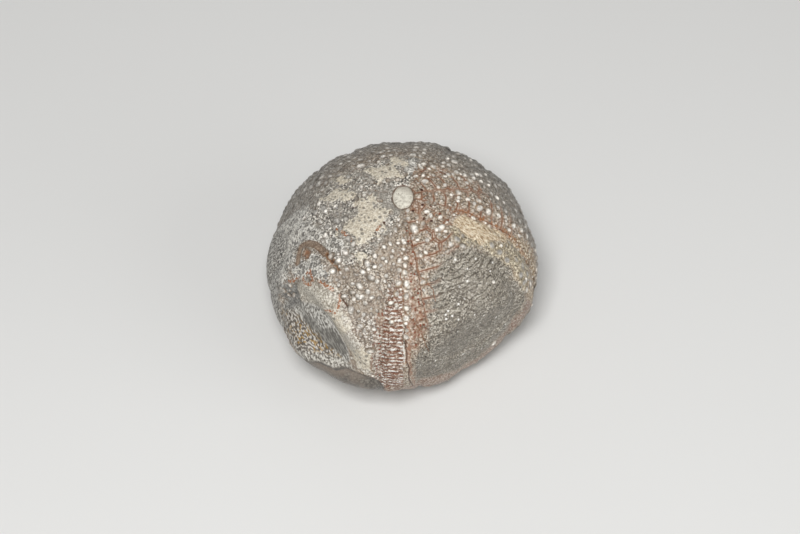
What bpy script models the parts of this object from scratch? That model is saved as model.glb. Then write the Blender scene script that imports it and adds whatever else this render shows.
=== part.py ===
"""Fossil regular sea urchin: one worn solid, standing on its mouth side.

The shell is a polar grid of 60 columns and 36 rings, wrapped over a flattened dome. A place
on it is an azimuth and a latitude, in degrees, seen from the centre of the widest section.
Azimuth 0 looks along -Y and grows towards +X. The grid is first dressed on a unit sphere,
where each tubercle is an extruded face, and every vertex is then set on the fossil's surface.
"""

import math
import random

import bmesh
import bpy
from mathutils import Vector, noise

MM = 0.001

# The undamaged dome.
AMBITUS_RADIUS = 19.6 * MM
AMBITUS_HEIGHT = 11.4 * MM
CROWN_RISE = 16.6 * MM
CROWN_FULLNESS = 2.15
BASE_DROP = 12.4 * MM
BASE_FULLNESS = 2.0
APEX_SHIFT = Vector((0.2, 0.85, 0.0)) * MM
APEX_SHIFT_FROM = 35.0

# The five rays, and the grid that follows them.
RAYS = 5
RAY_SPACING = 360.0 / RAYS
RAY_HALF_WIDTH = 10.0
COLUMNS = 60
RINGS = 36
COLUMN_STEP = 360.0 / COLUMNS
RAY_COLUMNS = 2

# The limestone plug in the anal opening: rings as (share of the plug's radius, height).
PLUG_HALF_WIDTH = 1.6 * MM
PLUG_HALF_LENGTH = 2.3 * MM
PLUG_RINGS = (
    (0.0, 0.40 * MM),
    (0.8, 0.32 * MM),
    (1.0, 0.12 * MM),
    (1.15, -0.25 * MM),
    (1.4, 0.08 * MM),
)

# The mouth, sunk in the flat of the base.
MOUTH_RADIUS = 5.2 * MM
MOUTH_NOTCH = 0.35 * MM
MOUTH_DEPTH = 1.7 * MM

# Tubercles: columns by their distance from a ray's midline on the even grid, in degrees.
FULL_COLUMNS = (3.0, 21.0, 27.0)
FULL_RINGS = range(7, 30)
SPARSE_COLUMNS = (15.0, 33.0)
SPARSE_RINGS = range(13, 27, 2)
TUBERCLE_TOP_SHARE = 0.42
TUBERCLE_HEIGHT = 0.42 * MM
WORN_AWAY_SHARE = 0.08
WEAR_SEED = 7

# Low relief of the sound shell.
PORE_FURROW = 0.40 * MM
PORE_FURROW_ANGLE = 9.0
PORE_FURROW_WIDTH = 2.2
PLATE_SWELLING = 0.35 * MM
UNEVENNESS = 0.22 * MM
UNEVENNESS_SIZE = 7.0 * MM

# Flanks ground down before burial: (azimuth, latitude, distance from the centre).
GROUND_FLANKS = (
    (35.5, -8.0, 16.25 * MM),
    (-19.0, -46.0, 15.5 * MM),
    (-98.0, 32.0, 17.8 * MM),
)
FLANK_SOFTNESS = 0.5 * MM

# Damage. A patch is (azimuth, latitude, half length, half height, turn in degrees).
WORN_FLAT = (38.0, 24.0, 9.6 * MM, 9.6 * MM, 0.0)
WORN_FLAT_STEP = 0.35 * MM
SCAR = (-41.0, 14.0, 7.4 * MM, 4.0 * MM, -18.0)
SCAR_DEPTH = 1.7 * MM
SCAR_BROW = (-33.0, 28.0, 7.0 * MM, 2.0 * MM, -40.0)
SCAR_BROW_HEIGHT = 0.5 * MM
LEDGE = (-29.0, -6.0, 8.5 * MM, 2.6 * MM, -8.0)
LEDGE_HEIGHT = 0.65 * MM
BACK_BRUISE = (152.0, -6.0, 6.0 * MM, 4.0 * MM, 25.0)
BACK_BRUISE_DEPTH = 0.5 * MM

# A fuller shoulder at the back, where the burial flattened the shell least.
BACK_SHOULDER = (143.0, 28.0, 7.0 * MM, 5.0 * MM, 0.0)
BACK_SHOULDER_HEIGHT = 0.4 * MM


def smooth_step(value, start, end):
    """0 before start and 1 after end, with a smooth rise between."""
    share = min(max((value - start) / (end - start), 0.0), 1.0)
    return share * share * (3.0 - 2.0 * share)


def patch_distance(azimuth, latitude, patch):
    """Distance from the patch's centre along the shell, in units of its half sizes."""
    centre_azimuth, centre_latitude, half_length, half_height, turn = patch
    turned = (azimuth - centre_azimuth + 180.0) % 360.0 - 180.0
    scale = AMBITUS_RADIUS * math.pi / 180.0
    east = turned * math.cos(math.radians(latitude)) * scale
    north = (latitude - centre_latitude) * scale
    cosine, sine = math.cos(math.radians(turn)), math.sin(math.radians(turn))
    return math.hypot(
        (east * cosine + north * sine) / half_length,
        (north * cosine - east * sine) / half_height,
    )


def patch_share(azimuth, latitude, patch, softness):
    """1 inside the patch and 0 outside it, falling over softness at its edge."""
    return 1.0 - smooth_step(patch_distance(azimuth, latitude, patch), 1.0 - softness, 1.0 + softness)


def ray_angle(azimuth):
    """Signed angle from the midline of the nearest ray."""
    return (azimuth + RAY_SPACING / 2.0) % RAY_SPACING - RAY_SPACING / 2.0


def plate_azimuth(grid_azimuth):
    """Moves the even grid's columns so that the ray's own columns just fill it."""
    from_midline = ray_angle(grid_azimuth)
    midline = grid_azimuth - from_midline
    ray_edge = RAY_COLUMNS * COLUMN_STEP
    if abs(from_midline) <= ray_edge:
        moved = abs(from_midline) * RAY_HALF_WIDTH / ray_edge
    else:
        between = RAY_SPACING / 2.0
        share = (abs(from_midline) - ray_edge) / (between - ray_edge)
        moved = RAY_HALF_WIDTH + share * (between - RAY_HALF_WIDTH)
    return midline + math.copysign(moved, from_midline)


def dome_radius(latitude):
    """Distance from the centre of the widest section to the undamaged dome."""
    rise, fullness = (CROWN_RISE, CROWN_FULLNESS) if latitude > 0.0 else (BASE_DROP, BASE_FULLNESS)
    across = abs(math.cos(math.radians(latitude))) / AMBITUS_RADIUS
    along = abs(math.sin(math.radians(latitude))) / rise
    return (across**fullness + along**fullness) ** (-1.0 / fullness)


def ground_reach(azimuth, latitude, reach):
    """The reach in this direction, held inside the ground flanks with a soft edge."""
    direction = direction_to(azimuth, latitude)
    for flank_azimuth, flank_latitude, distance in GROUND_FLANKS:
        facing = direction.dot(direction_to(flank_azimuth, flank_latitude))
        if facing > 0.1:
            limit = distance / facing
            excess = (reach - limit) / FLANK_SOFTNESS
            reach = limit + FLANK_SOFTNESS * (excess - math.log1p(math.exp(excess)))
    return reach


def sound_relief(azimuth, latitude):
    """Furrows of the pore bands, swollen plate columns, slow unevenness and the fuller shoulder."""
    from_midline = abs(ray_angle(azimuth))
    on_the_side = math.cos(math.radians(latitude)) ** 2
    furrow = math.exp(-(((from_midline - PORE_FURROW_ANGLE) / PORE_FURROW_WIDTH) ** 2))
    plate_share = (from_midline - RAY_HALF_WIDTH) / (RAY_SPACING / 2.0 - RAY_HALF_WIDTH)
    swelling = math.sin(math.pi * min(max(plate_share, 0.0), 1.0))
    direction = direction_to(azimuth, latitude)
    uneven = noise.noise(direction * (AMBITUS_RADIUS / UNEVENNESS_SIZE))
    relief = on_the_side * (PLATE_SWELLING * swelling - PORE_FURROW * furrow) + UNEVENNESS * uneven
    return relief + BACK_SHOULDER_HEIGHT * patch_share(azimuth, latitude, BACK_SHOULDER, 0.8)


def damage_relief(azimuth, latitude):
    """The worn flat, the broken scar with its brow and ledge, and a bruise at the back."""
    relief = -WORN_FLAT_STEP * patch_share(azimuth, latitude, WORN_FLAT, 0.06)
    relief -= SCAR_DEPTH * patch_share(azimuth, latitude, SCAR, 0.35)
    relief += SCAR_BROW_HEIGHT * patch_share(azimuth, latitude, SCAR_BROW, 0.6)
    relief += LEDGE_HEIGHT * patch_share(azimuth, latitude, LEDGE, 0.3)
    relief -= BACK_BRUISE_DEPTH * patch_share(azimuth, latitude, BACK_BRUISE, 0.6)
    return relief


def direction_to(azimuth, latitude):
    """Unit vector from the centre of the widest section."""
    azimuth, latitude = math.radians(azimuth), math.radians(latitude)
    level = math.cos(latitude)
    return Vector((math.sin(azimuth) * level, -math.cos(azimuth) * level, math.sin(latitude)))


def plug_radius(azimuth):
    """Half size of the plug's oval outline in this direction."""
    azimuth = math.radians(azimuth)
    return 1.0 / math.hypot(math.sin(azimuth) / PLUG_HALF_WIDTH, math.cos(azimuth) / PLUG_HALF_LENGTH)


def latitude_and_height(ring, azimuth):
    """Where a place this many rings from the apex lies, and how far it stands proud."""
    last = len(PLUG_RINGS) - 1
    inner = min(int(ring), last - 1)
    (share_a, height_a), (share_b, height_b) = PLUG_RINGS[inner], PLUG_RINGS[inner + 1]
    step = min(ring - inner, 1.0)
    radius = plug_radius(azimuth) * (share_a + step * (share_b - share_a))
    latitude = 90.0 - math.degrees(radius / CROWN_RISE)
    if ring <= last:
        return latitude, height_a + step * (height_b - height_a)
    outer_share = (ring - last) / (RINGS - last)
    height = height_b * (1.0 - smooth_step(ring, last, last + 2))
    return latitude + outer_share * (-90.0 - latitude), height


def surface_point(grid_azimuth, ring, lift):
    """The fossil's surface at a place on the grid, raised by lift."""
    azimuth = plate_azimuth(grid_azimuth)
    latitude, height = latitude_and_height(ring, azimuth)
    reach = ground_reach(azimuth, latitude, dome_radius(latitude))
    reach += height + lift + sound_relief(azimuth, latitude) + damage_relief(azimuth, latitude)
    point = direction_to(azimuth, latitude) * reach
    point += APEX_SHIFT * smooth_step(latitude, APEX_SHIFT_FROM, 90.0)
    point.z += AMBITUS_HEIGHT
    if point.z > 0.0:
        return point
    return flat_of_the_base(point, azimuth)


def flat_of_the_base(point, azimuth):
    """Below the resting plane the shell is worn flat, round the sunken mouth."""
    radius = math.hypot(point.x, point.y)
    mouth = MOUTH_RADIUS + MOUTH_NOTCH * math.cos(math.radians(azimuth * 2 * RAYS))
    share = min(radius / mouth, 1.0)
    return Vector((point.x, point.y, MOUTH_DEPTH * (1.0 - share**4)))


def grid_place(direction):
    """Even-grid azimuth and ring of a place on the unit sphere."""
    azimuth = math.degrees(math.atan2(direction.x, -direction.y))
    from_apex = math.degrees(direction.angle(Vector((0.0, 0.0, 1.0))))
    return azimuth, from_apex * RINGS / 180.0


def is_damaged(azimuth, latitude):
    """True where the tubercles have gone with the shell's own surface."""
    reaches = ((WORN_FLAT, 1.0), (SCAR, 1.05), (SCAR_BROW, 1.0), (LEDGE, 1.0), (BACK_BRUISE, 0.8))
    return any(patch_distance(azimuth, latitude, patch) < reach for patch, reach in reaches)


def carries_tubercle(face):
    """True for a grid face that holds a tubercle."""
    azimuth, ring = grid_place(face.calc_center_median())
    column, ring = abs(ray_angle(azimuth)), int(ring)
    in_full = ring in FULL_RINGS and min(abs(column - at) for at in FULL_COLUMNS) < 1.0
    in_sparse = ring in SPARSE_RINGS and min(abs(column - at) for at in SPARSE_COLUMNS) < 1.0
    if not (in_full or in_sparse):
        return False
    latitude, _ = latitude_and_height(ring + 0.5, azimuth)
    return not is_damaged(plate_azimuth(azimuth), latitude)


def raise_tubercles(shell):
    """Extrudes and narrows each tubercle's face; returns the vertices of the tops."""
    wear = random.Random(WEAR_SEED)
    places = [face for face in shell.faces if carries_tubercle(face)]
    bases = [face for face in places if wear.random() > WORN_AWAY_SHARE]
    tops = bmesh.ops.extrude_discrete_faces(shell, faces=bases)["faces"]
    raised = set()
    for top in tops:
        centre = top.calc_center_median()
        for vert in top.verts:
            vert.co = centre.lerp(vert.co, TUBERCLE_TOP_SHARE)
            raised.add(vert)
    return raised


def build_shell():
    """The whole fossil as one closed mesh."""
    shell = bmesh.new()
    bmesh.ops.create_uvsphere(shell, u_segments=COLUMNS, v_segments=RINGS, radius=1.0)
    raised = raise_tubercles(shell)
    for vert in shell.verts:
        azimuth, ring = grid_place(vert.co)
        vert.co = surface_point(azimuth, ring, TUBERCLE_HEIGHT if vert in raised else 0.0)
    bmesh.ops.triangulate(shell, faces=shell.faces[:])
    bmesh.ops.recalc_face_normals(shell, faces=shell.faces[:])
    mesh = bpy.data.meshes.new("sea_urchin_fossil")
    shell.to_mesh(mesh)
    shell.free()
    return mesh


def stone_material():
    """Grey-brown calcite with a dull surface."""
    material = bpy.data.materials.new("fossil_calcite")
    material.use_nodes = True
    shader = material.node_tree.nodes["Principled BSDF"]
    shader.inputs["Base Color"].default_value = (0.36, 0.30, 0.25, 1.0)
    shader.inputs["Roughness"].default_value = 0.62
    shader.inputs["Metallic"].default_value = 0.0
    return material


def main():
    for obj in list(bpy.data.objects):
        bpy.data.objects.remove(obj)
    collection = bpy.data.collections.new("fossil_sea_urchin")
    bpy.context.scene.collection.children.link(collection)
    mesh = build_shell()
    mesh.materials.append(stone_material())
    collection.objects.link(bpy.data.objects.new("sea_urchin_fossil", mesh))


main()
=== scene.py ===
"""Fossil sea urchin: the finish of every surface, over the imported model.

Everything is in metres, +Z up through the crown, -Y along the middle of the front ray. A place
on the shell is an azimuth and a latitude in degrees, seen from the centre of the widest
section. Azimuth 0 looks along -Y and grows towards +X.
"""

import math
import random

import bmesh
import bpy
import numpy as np
from mathutils import Matrix, Vector, noise
from mathutils.bvhtree import BVHTree


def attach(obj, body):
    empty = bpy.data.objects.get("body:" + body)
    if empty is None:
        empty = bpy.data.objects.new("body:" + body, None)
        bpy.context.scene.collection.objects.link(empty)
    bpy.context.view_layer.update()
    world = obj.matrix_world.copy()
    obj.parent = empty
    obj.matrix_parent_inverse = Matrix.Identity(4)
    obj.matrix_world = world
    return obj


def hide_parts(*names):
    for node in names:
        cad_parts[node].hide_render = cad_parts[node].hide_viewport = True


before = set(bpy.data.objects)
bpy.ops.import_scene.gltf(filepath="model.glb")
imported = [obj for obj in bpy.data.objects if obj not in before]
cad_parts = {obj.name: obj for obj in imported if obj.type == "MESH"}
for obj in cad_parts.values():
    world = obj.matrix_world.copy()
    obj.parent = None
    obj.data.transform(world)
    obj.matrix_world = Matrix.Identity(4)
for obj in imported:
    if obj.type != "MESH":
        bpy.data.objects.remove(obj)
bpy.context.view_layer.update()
MM = 0.001


# --------------------------------------------------------------------------------------
# The shell. A regular urchin's test, turned to calcite round a core of limestone: five
# narrow rays with pores and five wide fields of plates run from the crown to the mouth.
# A cube sphere is pulled out to the worn dome, point by point, and closed under the mouth.
# --------------------------------------------------------------------------------------

AMBITUS_RADIUS = 19.6 * MM
AMBITUS_HEIGHT = 11.4 * MM
CROWN_RISE = 16.6 * MM
CROWN_FULLNESS = 2.15
BASE_DROP = 12.4 * MM
BASE_FULLNESS = 2.0
APEX_SHIFT = np.array((0.2, 0.85, 0.0)) * MM
APEX_SHIFT_FROM = 35.0
DEGREE = 0.31 * MM
SHELL_CUTS = 125

RAY_SPACING = 72.0
RAY_WIDEST = 12.5
RAY_WIDENS_OVER = 17.0

MOUTH_RADIUS = 5.2 * MM
MOUTH_NOTCH = 0.35 * MM
MOUTH_DEPTH = 1.7 * MM

PLUG_HALF_WIDTH = 1.5 * MM
PLUG_HALF_LENGTH = 2.05 * MM
PLUG_SEAT_DEPTH = 0.3 * MM

PORE_FURROW = 0.4 * MM
PORE_FURROW_ANGLE = 9.0
PORE_FURROW_WIDTH = 2.2
PLATE_SWELLING = 0.35 * MM
UNEVENNESS = 0.22 * MM
UNEVENNESS_SIZE = 7.0 * MM

# Ground flanks: (azimuth, latitude, distance from the centre).
GROUND_FLANKS = (
    (35.5, -8.0, 16.25 * MM),
    (-19.0, -46.0, 15.5 * MM),
    (-98.0, 32.0, 17.8 * MM),
)
FLANK_SOFTNESS = 0.5 * MM

# Patches: (azimuth, latitude, half length, half height, turn).
BACK_SHOULDER = (143.0, 28.0, 7.0 * MM, 5.0 * MM, 0.0)
SHOULDER_RISE = 0.4 * MM
SHOULDER_SOFTNESS = 0.8
# The worn flat, the scar, its brow, the ledge under it and a bruise at the back: each with
# how far it is raised, and how soft its edge is.
DAMAGE = (
    ((38.0, 24.0, 9.6 * MM, 9.6 * MM, 0.0), -0.35 * MM, 0.06),
    ((-41.0, 14.0, 7.4 * MM, 4.0 * MM, -18.0), -1.7 * MM, 0.35),
    ((-33.0, 28.0, 7.0 * MM, 2.0 * MM, -40.0), 0.5 * MM, 0.6),
    ((-29.0, -6.0, 8.5 * MM, 2.6 * MM, -8.0), 0.65 * MM, 0.3),
    ((152.0, -6.0, 6.0 * MM, 4.0 * MM, 25.0), -0.5 * MM, 0.6),
)
CRUST_RISE = 0.14 * MM
FACET_RELIEF = 0.35 * MM
HOLLOW_DEPTH = 0.3 * MM
LIP_DEPTH = 0.28 * MM
GROOVE_DEPTH = 0.38 * MM
GROOVE_HALF_WIDTH = 0.42 * MM
BREAK_DEPTH = 0.22 * MM
BREAK_HALF_WIDTH = 0.22 * MM
GRAIN_RELIEF = 0.06 * MM

# The kinds of ground, each inside its outlines: azimuth and latitude of every corner in turn.
ZONES = {
    "cream": (
        (
            -97, 73,  -94, 77,  -64, 78,  -43, 79,  -22, 76,  -31, 73,  -30, 65,  -34, 61,  -43, 59,
            -54, 59,  -63, 56,  -66, 59,  -67, 64,  -75, 68,  -88, 66,
        ),
        (-102, 49,  -103, 54,  -111, 55,  -108, 60,  -107, 65,  -99, 68,  -93, 64,  -96, 59,  -95, 52),
        (-119, 52,  -125, 53,  -122, 60,  -116, 58),
        (-138, 61,  -145, 63,  -160, 65,  -180, 71,  -180, 77,  -146, 76,  -131, 74,  -135, 66),
        (-167, 61,  -180, 60,  -185, 67,  -176, 70,  -167, 67),
        (-38, 54,  -34, 57,  -28, 55,  -31, 52),
    ),
    "white": (
        (
            -106, 30,  -103, 40,  -92, 44,  -79, 47,  -71, 51,  -68, 47,  -72, 43,  -81, 36,  -78, 32,
            -71, 30,  -70, 23,  -66, 22,  -67, 16,  -75, 11,  -90, 9,  -99, 6,  -105, 14,
        ),
        (-67, 49,  -64, 53,  -54, 56,  -47, 53,  -49, 49,  -57, 48),
        (-66, 39,  -65, 42,  -53, 44,  -47, 43,  -45, 39,  -52, 36,  -60, 31,  -64, 24,  -68, 28),
        (177, 64,  168, 60,  161, 63,  159, 70,  167, 76,  178, 72),
    ),
    "brow": ((
        -66, 18,  -60, 27,  -48, 36,  -41, 38,  -35, 37,  -28, 32,  -29, 24,  -28, 15,  -37, 22,  -44, 24,
        -51, 21,  -58, 17,
    ),),
    "ridge": ((
        -35, 32,  -28, 32,  -25, 29,  -21, 24,  -17, 19,  -13, 14,  -13, 4,  -19, 4,  -22, 9,  -27, 13,
        -31, 20,
    ),),
    "granular": (
        (-25, 30,  -17, 32,  -9, 30,  -8.5, 20,  -8, 0,  -7, -8,  -14, -8,  -12, 8,  -14, 16,  -20, 23),
    ),
    "beige": ((
        67, 63,  75, 62,  79, 59,  80, 53,  81, 46,  83, 40,  83, 35,  79, 35,  75, 40,  70, 44,  66, 46,
        64, 50,  62, 55,  62, 61,
    ),),
    "olive": ((
        59, 63,  68, 60,  69, 54,  71, 46,  76, 38,  82, 34,  81, 20,  76, 14,  68, 16,  68, 30,  66, 40,
        62, 49,  52, 54,  52, 60,
    ),),
    "worn": ((
        18, 47,  24, 50,  34, 53,  46, 54,  58, 49,  66, 39,  69, 27,  68, 14,  64, 2,  58, -6,  50, -13,
        42, -19,  30, -18,  18, -11,  7, -8,  5, 13,  12, 20,  12, 30,  17, 39,
    ),),
    "edge_band": ((
        -6, -6,  6, -9,  20, -12,  32, -20,  44, -20,  52, -14,  60, -7,  66, 0,  71, 14,  78, 4,
        66, -12,  52, -26,  36, -32,  10, -24,  -4, -16,
    ),),
    "tan": ((66, 26,  74, 30,  84, 34,  90, 22,  88, 2,  80, -4,  74, 0,  69, 10),),
    "hollow": ((-69, 18,  -63, 23,  -58, 20,  -56, 15,  -61, 10,  -67, 13),),
    "scar": ((
        -64, 12,  -58, 17,  -52, 21,  -44, 24,  -36, 22,  -31, 17,  -26, 12,  -23, 6,  -24, 2,  -31, 0,
        -41, -3,  -50, -1,  -60, 0,  -64, 4,
    ),),
    # the scar's upper wall under the brow, which the finish darkens with painted shade
    "painted_shade_facet": ((
        -57, 13,  -49, 14,  -45, 15,  -40, 14,  -36, 17,  -32, 16,  -28, 13,  -25, 8,  -27, 5,  -32, 5,
        -37, 6,  -44, 10,  -50, 9,
    ),),
    "left_facet": ((
        -65, 5,  -58, 11,  -50, 9,  -44, 10,  -37, 6,  -32, 5,  -27, 4,  -31, 2,  -38, 1,  -46, 0,
        -56, -1,  -64, -1,
    ),),
    "scar_rim": (
        (-47, -4,  -44, 1,  -37, 2,  -31, 3,  -23, 5,  -18, 3,  -24, 1,  -31, -1,  -37, -2,  -42, -5),
    ),
    "lip": ((
        -61, -11,  -55, -6,  -45, -4,  -41, -3,  -37, -1,  -29, 0,  -24, 2,  -15, 2,  -12, 1,  -9, -3,
        -7, -6,  -10, -18,  -24, -24,  -42, -23,  -54, -17,
    ),),
    "flank": ((
        -100, 22,  -92, 27,  -82, 24,  -70, 18,  -65, 8,  -60, -4,  -64, -14,  -76, -19,  -90, -18,
        -100, -10,  -104, 6,
    ),),
    "mottled": ((
        -104, 38,  -118, 50,  -135, 58,  -160, 59,  178, 58,  160, 60,  158, 74,  150, 84,  0, 84,
        -14, 70,  -30, 52,  -44, 47,  -66, 44,  -84, 36,
    ),),
    "rusty": ((
        2, 74,  30, 84,  95, 86,  150, 80,  166, 70,  148, 58,  118, 50,  100, 44,  94, 30,  88, 10,
        80, -4,  76, 14,  80, 32,  80, 46,  62, 60,  52, 54,  34, 56,  24, 45,  18, 34,  11, 26,  5, 12,
        6, -12,  -12, -12,  -12, 32,  -5, 40,  -3, 56,
    ),),
}
HOOK_GROOVE = (-68, 32,  -72, 34,  -76, 36,  -73, 41,  -68, 44,  -63, 45,  -57, 46)
HOOK_ARM = (-57, 46,  -48, 46,  -42, 45)
HOOK_CURL = (-69, 37,  -70, 38,  -67, 39,  -66, 38)
BROKEN_EDGE = (-48, 37,  -43, 37,  -39, 37,  -35, 37,  -32, 35,  -28, 33,  -26, 31)


def smooth_step(value, start, end):
    """0 before start and 1 after end, with a smooth rise between."""
    share = np.clip((value - start) / (end - start), 0.0, 1.0)
    return share * share * (3.0 - 2.0 * share)


def direction_to(azimuth, latitude):
    """Unit vectors from the centre of the widest section."""
    azimuth, latitude = np.radians(azimuth), np.radians(latitude)
    level = np.cos(latitude)
    return np.stack((np.sin(azimuth) * level, -np.cos(azimuth) * level, np.sin(latitude)), axis=-1)


def patch_share(azimuth, latitude, patch, softness):
    """1 inside the patch and 0 outside it, falling over softness at its edge."""
    centre_azimuth, centre_latitude, half_length, half_height, turn = patch
    turned = (azimuth - centre_azimuth + 180.0) % 360.0 - 180.0
    scale = AMBITUS_RADIUS * math.pi / 180.0
    east = turned * np.cos(np.radians(latitude)) * scale
    north = (latitude - centre_latitude) * scale
    cosine, sine = math.cos(math.radians(turn)), math.sin(math.radians(turn))
    along = (east * cosine + north * sine) / half_length
    across = (north * cosine - east * sine) / half_height
    return 1.0 - smooth_step(np.hypot(along, across), 1.0 - softness, 1.0 + softness)


def crown_map(azimuth, latitude):
    """The shell laid flat round its crown: degrees from the apex, along each azimuth."""
    away = 90.0 - np.asarray(latitude, float)
    turned = np.radians(azimuth)
    return np.stack((away * np.sin(turned), -away * np.cos(turned)), axis=-1)


def segments_of(corners, closed):
    """Start and end of each side of a line on the crown map."""
    spots = crown_map(*np.reshape(np.array(corners, float), (-1, 2)).T)
    if closed:
        return list(zip(spots, np.roll(spots, -1, axis=0)))
    return list(zip(spots, spots[1:]))


GROOVE_LINES = segments_of(HOOK_GROOVE, False) + segments_of(HOOK_CURL, False)


def distance_to(segments, spots):
    """Distance in metres along the shell from each spot to the nearest segment."""
    nearest = np.full(len(spots), np.inf)
    for start, end in segments:
        along = end - start
        offset = spots - start
        share = np.clip(offset @ along / (along @ along), 0.0, 1.0)
        nearest = np.minimum(nearest, np.linalg.norm(offset - share[:, None] * along, axis=1))
    return nearest * DEGREE


def depth_in_one(outline, spots):
    """Distance in metres to an outline's edge, positive inside it and negative outside."""
    segments = segments_of(outline, True)
    inside = np.zeros(len(spots), bool)
    for start, end in segments:
        crosses = (start[1] > spots[:, 1]) != (end[1] > spots[:, 1])
        rise = end[1] - start[1] if abs(end[1] - start[1]) > 1e-9 else 1e-9
        meets = start[0] + (end[0] - start[0]) * (spots[:, 1] - start[1]) / rise
        inside ^= crosses & (spots[:, 0] < meets)
    return np.where(inside, 1.0, -1.0) * distance_to(segments, spots)


def depth_inside(outlines, spots):
    """The greatest depth inside any of several outlines."""
    return np.max([depth_in_one(outline, spots) for outline in outlines], axis=0)


def rough(directions, size, octaves=1):
    """Seamless noise over the shell, about -1 to 1, with lumps of this size."""
    scale = AMBITUS_RADIUS / size
    if octaves == 1:
        return np.array([noise.noise(Vector(way) * scale) for way in directions])
    return np.array([noise.fractal(Vector(way) * scale, 1.0, 2.0, octaves) for way in directions])


def ray_angle(azimuth):
    """Signed angle from the midline of the nearest ray."""
    return (azimuth + RAY_SPACING / 2.0) % RAY_SPACING - RAY_SPACING / 2.0


def dome_radius(latitude):
    """Distance from the centre of the widest section to the undamaged dome."""
    rise = np.where(latitude > 0.0, CROWN_RISE, BASE_DROP)
    fullness = np.where(latitude > 0.0, CROWN_FULLNESS, BASE_FULLNESS)
    across = np.abs(np.cos(np.radians(latitude))) / AMBITUS_RADIUS
    along = np.abs(np.sin(np.radians(latitude))) / rise
    return (across**fullness + along**fullness) ** (-1.0 / fullness)


def ground_reach(directions, reach):
    """The reach in each direction, held inside the ground flanks with a soft edge."""
    for azimuth, latitude, distance in GROUND_FLANKS:
        facing = directions @ direction_to(azimuth, latitude)
        limit = distance / np.maximum(facing, 0.1)
        held = limit - FLANK_SOFTNESS * np.logaddexp(0.0, (limit - reach) / FLANK_SOFTNESS)
        reach = np.where(facing > 0.1, held, reach)
    return reach


def sound_relief(azimuth, latitude, directions):
    """Furrows of the pore bands, swollen plate columns and slow unevenness."""
    from_midline = np.abs(ray_angle(azimuth))
    on_the_side = np.cos(np.radians(latitude)) ** 2
    furrow = np.exp(-(((from_midline - PORE_FURROW_ANGLE) / PORE_FURROW_WIDTH) ** 2))
    swelling = np.sin(math.pi * np.clip((from_midline - 10.0) / 26.0, 0.0, 1.0))
    relief = on_the_side * (PLATE_SWELLING * swelling - PORE_FURROW * furrow)
    relief += UNEVENNESS * rough(directions, UNEVENNESS_SIZE)
    return relief + SHOULDER_RISE * patch_share(azimuth, latitude, BACK_SHOULDER, SHOULDER_SOFTNESS)


def damage_relief(azimuth, latitude):
    """The worn flat, the broken scar with its brow and ledge, and a bruise at the back."""
    relief = np.zeros(len(azimuth))
    for patch, rise, softness in DAMAGE:
        relief += rise * patch_share(azimuth, latitude, patch, softness)
    return relief


def fine_relief(directions, spots):
    """What lies on the broad forms: crust, broken facets, grooves and the stone's own grain."""
    grain = rough(directions, 0.9 * MM, 3)
    relief = GRAIN_RELIEF * grain + 0.05 * MM * rough(directions, 2.6 * MM)
    crust = depth_inside(ZONES["cream"] + ZONES["white"] + ZONES["brow"] + ZONES["ridge"], spots)
    patchy = crust + 0.7 * MM * rough(directions, 1.9 * MM, 2)
    relief += CRUST_RISE * smooth_step(patchy, 0.0, 0.35 * MM)
    scarred = smooth_step(depth_inside(ZONES["scar"], spots), -0.3 * MM, 0.6 * MM)
    facets = np.abs(rough(directions, 3.2 * MM, 2)) + 0.35 * np.abs(rough(directions, 1.1 * MM))
    relief += FACET_RELIEF * scarred * (facets - 0.4)
    relief -= HOLLOW_DEPTH * smooth_step(depth_inside(ZONES["hollow"], spots), -0.4 * MM, 0.6 * MM)
    lip = smooth_step(depth_inside(ZONES["lip"], spots), -0.08 * MM, 0.22 * MM)
    lip *= smooth_step(np.linalg.norm(spots, axis=1), 112.0, 101.0)
    relief -= lip * (LIP_DEPTH + 0.05 * MM * grain)
    groove = distance_to(GROOVE_LINES, spots)
    relief -= GROOVE_DEPTH * np.exp(-((groove / GROOVE_HALF_WIDTH) ** 2))
    broken = distance_to(segments_of(BROKEN_EDGE, False) + segments_of(HOOK_ARM, False), spots)
    return relief - BREAK_DEPTH * np.exp(-((broken / BREAK_HALF_WIDTH) ** 2))


def plug_seat(azimuth, latitude):
    """How far the anal opening is sunk, under the limestone that fills it."""
    turned = np.radians(azimuth)
    edge = 1.0 / np.hypot(np.sin(turned) / PLUG_HALF_WIDTH, np.cos(turned) / PLUG_HALF_LENGTH)
    radius = CROWN_RISE * np.radians(90.0 - latitude)
    return PLUG_SEAT_DEPTH * (1.0 - smooth_step(radius / edge, 0.95, 1.2))


def shell_points(azimuth, latitude):
    """The fossil's surface at these places."""
    directions = direction_to(azimuth, latitude)
    spots = crown_map(azimuth, latitude)
    reach = ground_reach(directions, dome_radius(latitude))
    reach += sound_relief(azimuth, latitude, directions) + damage_relief(azimuth, latitude)
    reach += fine_relief(directions, spots) - plug_seat(azimuth, latitude)
    points = directions * reach[:, None]
    points += APEX_SHIFT * smooth_step(latitude, APEX_SHIFT_FROM, 90.0)[:, None]
    points[:, 2] += AMBITUS_HEIGHT
    radius = np.hypot(points[:, 0], points[:, 1])
    mouth = MOUTH_RADIUS + MOUTH_NOTCH * np.cos(np.radians(azimuth * 10.0))
    sunk = MOUTH_DEPTH * (1.0 - np.minimum(radius / mouth, 1.0) ** 4)
    points[:, 2] = np.where(points[:, 2] > 0.0, points[:, 2], sunk)
    return points


def cube_sphere(cuts):
    """A unit sphere of nearly square, even faces."""
    ball = bmesh.new()
    bmesh.ops.create_cube(ball, size=2.0)
    bmesh.ops.subdivide_edges(ball, edges=ball.edges[:], cuts=cuts, use_grid_fill=True)
    for vert in ball.verts:
        vert.co = Vector([math.tan(side * math.pi / 4.0) for side in vert.co]).normalized()
    ball.verts.index_update()
    return ball


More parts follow.
